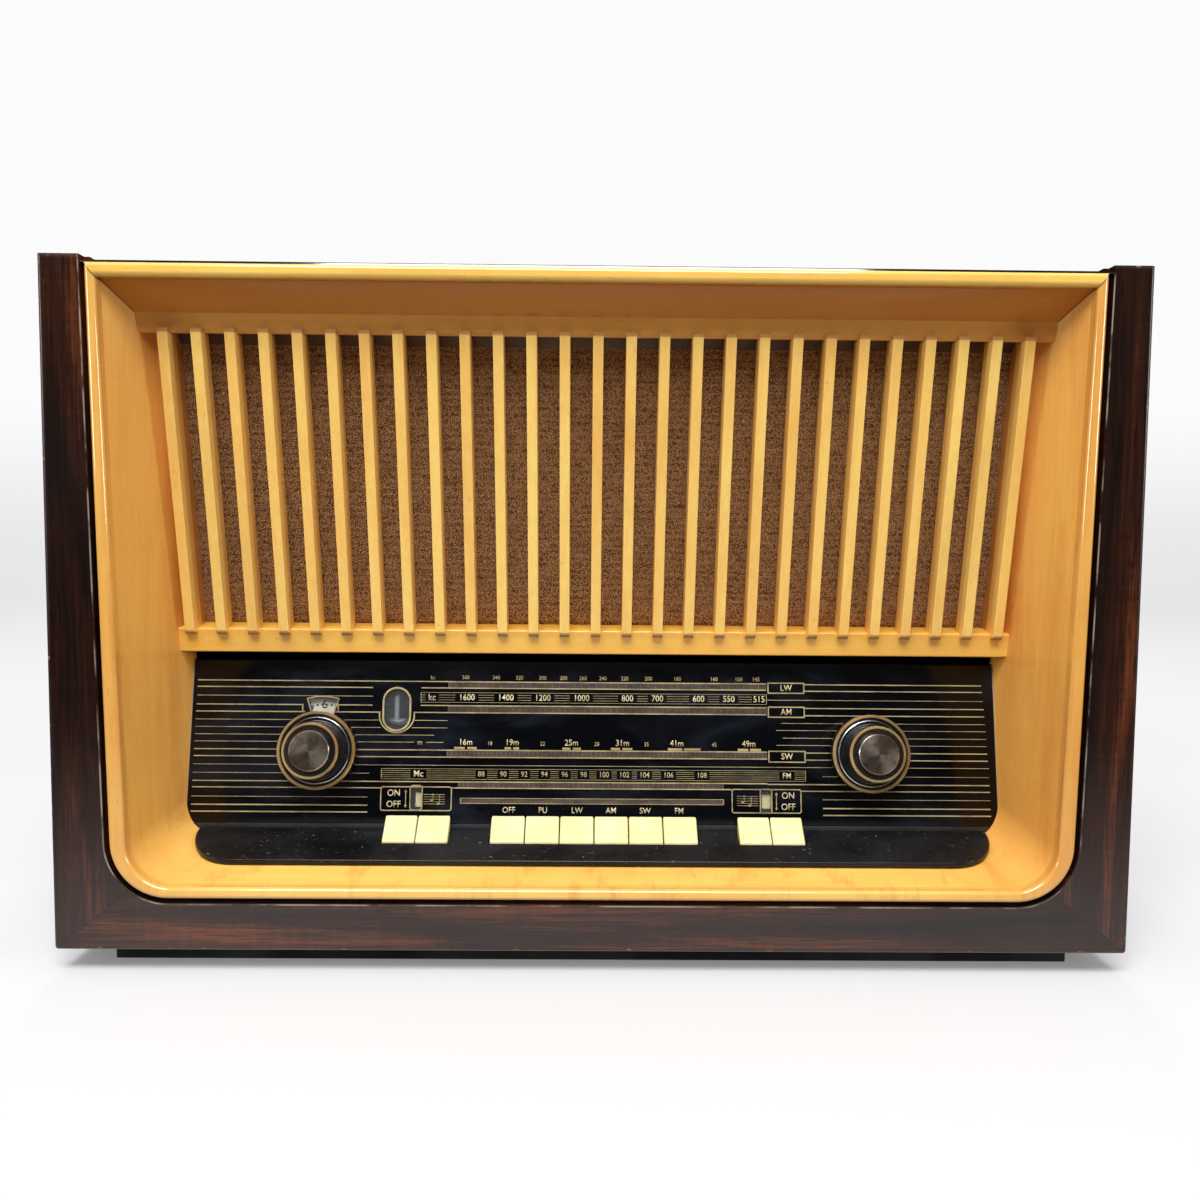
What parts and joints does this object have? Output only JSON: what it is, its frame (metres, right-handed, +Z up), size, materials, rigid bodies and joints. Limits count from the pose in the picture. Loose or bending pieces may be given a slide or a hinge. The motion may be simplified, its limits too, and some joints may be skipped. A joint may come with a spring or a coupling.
{
  "type": "table radio",
  "caption": "Large table-top valve radio: walnut cabinet, slatted maple grille, black glass dial, ivory press keys and two double tuning and volume knobs that turn.",
  "frame": {"origin": "middle of the footprint, on the surface that the battens stand on", "axes": "+X to the right seen from the front, +Y from the front to the back, +Z up"},
  "size_m": [0.64, 0.285, 0.42],
  "materials": {
    "walnut": "dark walnut veneer under gloss lacquer",
    "blockboard": "bare blockboard",
    "black_batten": "black painted batten",
    "maple": "honey maple veneer under satin lacquer",
    "grille_cloth": "brown woven cloth with a bronze thread",
    "speaker_steel": "pressed steel",
    "speaker_paper": "felted paper cone",
    "dial_print": "glass printed black and gold on its back",
    "plate_grey": "dull painted sheet",
    "lamp_glass": "clear",
    "pointer_red": "painted",
    "ivory": "polished ivory moulding",
    "eye_glass": "silvered glass tube",
    "knob": "black moulding with brass rims and a spun metal face",
    "steel": "bright steel",
    "aerial_disc": "pale moulded disc",
    "black_moulding": "black moulding",
    "chassis_steel": "plated sheet steel",
    "iron": "varnished laminations",
    "valve_glass": "glass",
    "can_aluminium": "drawn aluminium",
    "ferrite": "ferrite rod",
    "pressboard": "brown pressed board",
    "screw_steel": "plated",
    "socket_board": "brown laminate",
    "rubber": "soft rubber"
  },
  "bodies": {
    "cabinet": {"front_stile_left": "walnut", "front_stile_right": "walnut", "front_bottom_rail": "walnut", "side_panel_left": "walnut", "side_panel_right": "walnut", "top_panel": "walnut", "bottom_panel": "blockboard", "baffle_board": "blockboard", "plinth_battens": "black_batten", "bezel_top": "maple", "bezel_cheek_left": "maple", "bezel_cheek_right": "maple", "bezel_sill": "maple", "grille_top_rail": "maple", "grille_bottom_rail": "maple", "grille_strip_left": "maple", "grille_strip_right": "maple", "grille_slats": "maple", "speaker_cloth": "grille_cloth", "speaker_frames": "speaker_steel", "speaker_cones": "speaker_paper", "dial_glass": "dial_print", "dial_plate": "plate_grey", "dial_lamps": "lamp_glass", "magic_eye_tube": "eye_glass", "key_ledge": "black_moulding", "key_frame": "steel", "chassis_pan": "chassis_steel", "transformers": "iron", "valves": "valve_glass", "screening_cans": "can_aluminium", "tuning_capacitor_frame": "can_aluminium", "back_panel": "pressboard", "back_screws": "screw_steel", "rear_sockets": "socket_board", "mains_grommet": "rubber"},
    "volume_control": {"volume_knob": "knob", "volume_spindle": "steel"},
    "aerial_ring": {"aerial_knob": "knob", "aerial_sleeve": "aerial_disc"},
    "am_tuning": {"am_tuning_knob": "knob", "am_tuning_spindle": "steel"},
    "fm_tuning": {"fm_tuning_knob": "knob", "fm_tuning_sleeve": "steel"},
    "am_pointer": {"am_pointer": "pointer_red"},
    "fm_pointer": {"fm_pointer": "pointer_red"},
    "capacitor_rotor": {"tuning_capacitor_rotor": "can_aluminium"},
    "ferrite_aerial": {"ferrite_aerial": "ferrite"},
    "flag_left": {"register_flag_left": "ivory"},
    "flag_right": {"register_flag_right": "ivory"},
    "solo_key": {"solo_key": "ivory"},
    "bass_key": {"bass_key": "ivory"},
    "off_key": {"off_key": "ivory"},
    "gram_key": {"gram_key": "ivory"},
    "long_wave_key": {"long_wave_key": "ivory"},
    "medium_wave_key": {"medium_wave_key": "ivory"},
    "short_wave_key": {"short_wave_key": "ivory"},
    "fm_key": {"fm_key": "ivory"},
    "bright_key": {"bright_key": "ivory"},
    "soft_key": {"soft_key": "ivory"}
  },
  "joints": [
    {"name": "volume_turn", "type": "hinge", "parent": "cabinet", "child": "volume_control", "pos_m": [-0.1784, -0.07565, 0.12146], "axis": [0, -0.982, 0.1891], "range_deg": [-140, 140]},
    {"name": "aerial_turn", "type": "hinge", "parent": "cabinet", "child": "aerial_ring", "pos_m": [-0.1784, -0.07565, 0.12146], "axis": [0, -0.982, 0.1891], "range_deg": [-90, 90]},
    {"name": "am_tuning_turn", "type": "hinge", "parent": "cabinet", "child": "am_tuning", "pos_m": [0.1784, -0.07565, 0.12146], "axis": [0, -0.982, 0.1891], "range_deg": [-370, 370]},
    {"name": "fm_tuning_turn", "type": "hinge", "parent": "cabinet", "child": "fm_tuning", "pos_m": [0.1784, -0.07565, 0.12146], "axis": [0, -0.982, 0.1891], "range_deg": [-370, 370]},
    {"name": "am_pointer_slide", "type": "slide", "parent": "cabinet", "child": "am_pointer", "axis": [1, 0, 0], "range_m": [-0.104, 0.104]},
    {"name": "fm_pointer_slide", "type": "slide", "parent": "cabinet", "child": "fm_pointer", "axis": [1, 0, 0], "range_m": [-0.104, 0.104]},
    {"name": "capacitor_turn", "type": "hinge", "parent": "cabinet", "child": "capacitor_rotor", "pos_m": [0.186, 0.0095, 0.1045], "axis": [0, -1, 0], "range_deg": [-90, 90]},
    {"name": "ferrite_turn", "type": "hinge", "parent": "cabinet", "child": "ferrite_aerial", "pos_m": [-0.232, 0.0345, 0.1725], "axis": [0, 0, 1], "range_deg": [-90, 90]},
    {"name": "solo_key_press", "type": "hinge", "parent": "cabinet", "child": "solo_key", "pos_m": [-0.12415, -0.0255, 0.0665], "axis": [1, 0, 0], "range_deg": [0, 4.4], "stiffness_Nm_per_rad": 1, "springref_deg": -4.58},
    {"name": "bass_key_press", "type": "hinge", "parent": "cabinet", "child": "bass_key", "pos_m": [-0.10305, -0.0255, 0.0665], "axis": [1, 0, 0], "range_deg": [0, 4.4], "stiffness_Nm_per_rad": 1, "springref_deg": -4.58},
    {"name": "off_key_press", "type": "hinge", "parent": "cabinet", "child": "off_key", "pos_m": [-0.05538, -0.0255, 0.0665], "axis": [1, 0, 0], "range_deg": [0, 4.4], "stiffness_Nm_per_rad": 1, "springref_deg": -4.58},
    {"name": "gram_key_press", "type": "hinge", "parent": "cabinet", "child": "gram_key", "pos_m": [-0.03322, -0.0255, 0.0665], "axis": [1, 0, 0], "range_deg": [0, 4.4], "stiffness_Nm_per_rad": 1, "springref_deg": -4.58},
    {"name": "long_wave_key_press", "type": "hinge", "parent": "cabinet", "child": "long_wave_key", "pos_m": [-0.01107, -0.0255, 0.0665], "axis": [1, 0, 0], "range_deg": [0, 4.4], "stiffness_Nm_per_rad": 1, "springref_deg": -4.58},
    {"name": "medium_wave_key_press", "type": "hinge", "parent": "cabinet", "child": "medium_wave_key", "pos_m": [0.01107, -0.0255, 0.0665], "axis": [1, 0, 0], "range_deg": [0, 4.4], "stiffness_Nm_per_rad": 1, "springref_deg": -4.58},
    {"name": "short_wave_key_press", "type": "hinge", "parent": "cabinet", "child": "short_wave_key", "pos_m": [0.03322, -0.0255, 0.0665], "axis": [1, 0, 0], "range_deg": [0, 4.4], "stiffness_Nm_per_rad": 1, "springref_deg": -4.58},
    {"name": "fm_key_press", "type": "hinge", "parent": "cabinet", "child": "fm_key", "pos_m": [0.05538, -0.0255, 0.0665], "axis": [1, 0, 0], "range_deg": [0, 4.4], "stiffness_Nm_per_rad": 1, "springref_deg": -4.58},
    {"name": "bright_key_press", "type": "hinge", "parent": "cabinet", "child": "bright_key", "pos_m": [0.10305, -0.0255, 0.0665], "axis": [1, 0, 0], "range_deg": [0, 4.4], "stiffness_Nm_per_rad": 1, "springref_deg": -4.58},
    {"name": "soft_key_press", "type": "hinge", "parent": "cabinet", "child": "soft_key", "pos_m": [0.12415, -0.0255, 0.0665], "axis": [1, 0, 0], "range_deg": [0, 4.4], "stiffness_Nm_per_rad": 1, "springref_deg": -4.58},
    {"name": "flag_left_slide", "type": "slide", "parent": "cabinet", "child": "flag_left", "axis": [0, 0.1891, 0.982], "range_m": [0, 0.006]},
    {"name": "flag_right_slide", "type": "slide", "parent": "cabinet", "child": "flag_right", "axis": [0, 0.1891, 0.982], "range_m": [0, 0.006]}
  ],
  "couplings": [
    {"joint": "am_pointer_slide", "follows": "am_tuning_turn", "m_per_rad": -0.016},
    {"joint": "fm_pointer_slide", "follows": "fm_tuning_turn", "m_per_rad": -0.016},
    {"joint": "capacitor_turn", "follows": "am_tuning_turn", "ratio": 0.24},
    {"joint": "ferrite_turn", "follows": "aerial_turn", "ratio": 1},
    {"joint": "flag_left_slide", "follows": "solo_key_press", "m_per_rad": 0.07774},
    {"joint": "flag_right_slide", "follows": "bright_key_press", "m_per_rad": 0.07774}
  ]
}
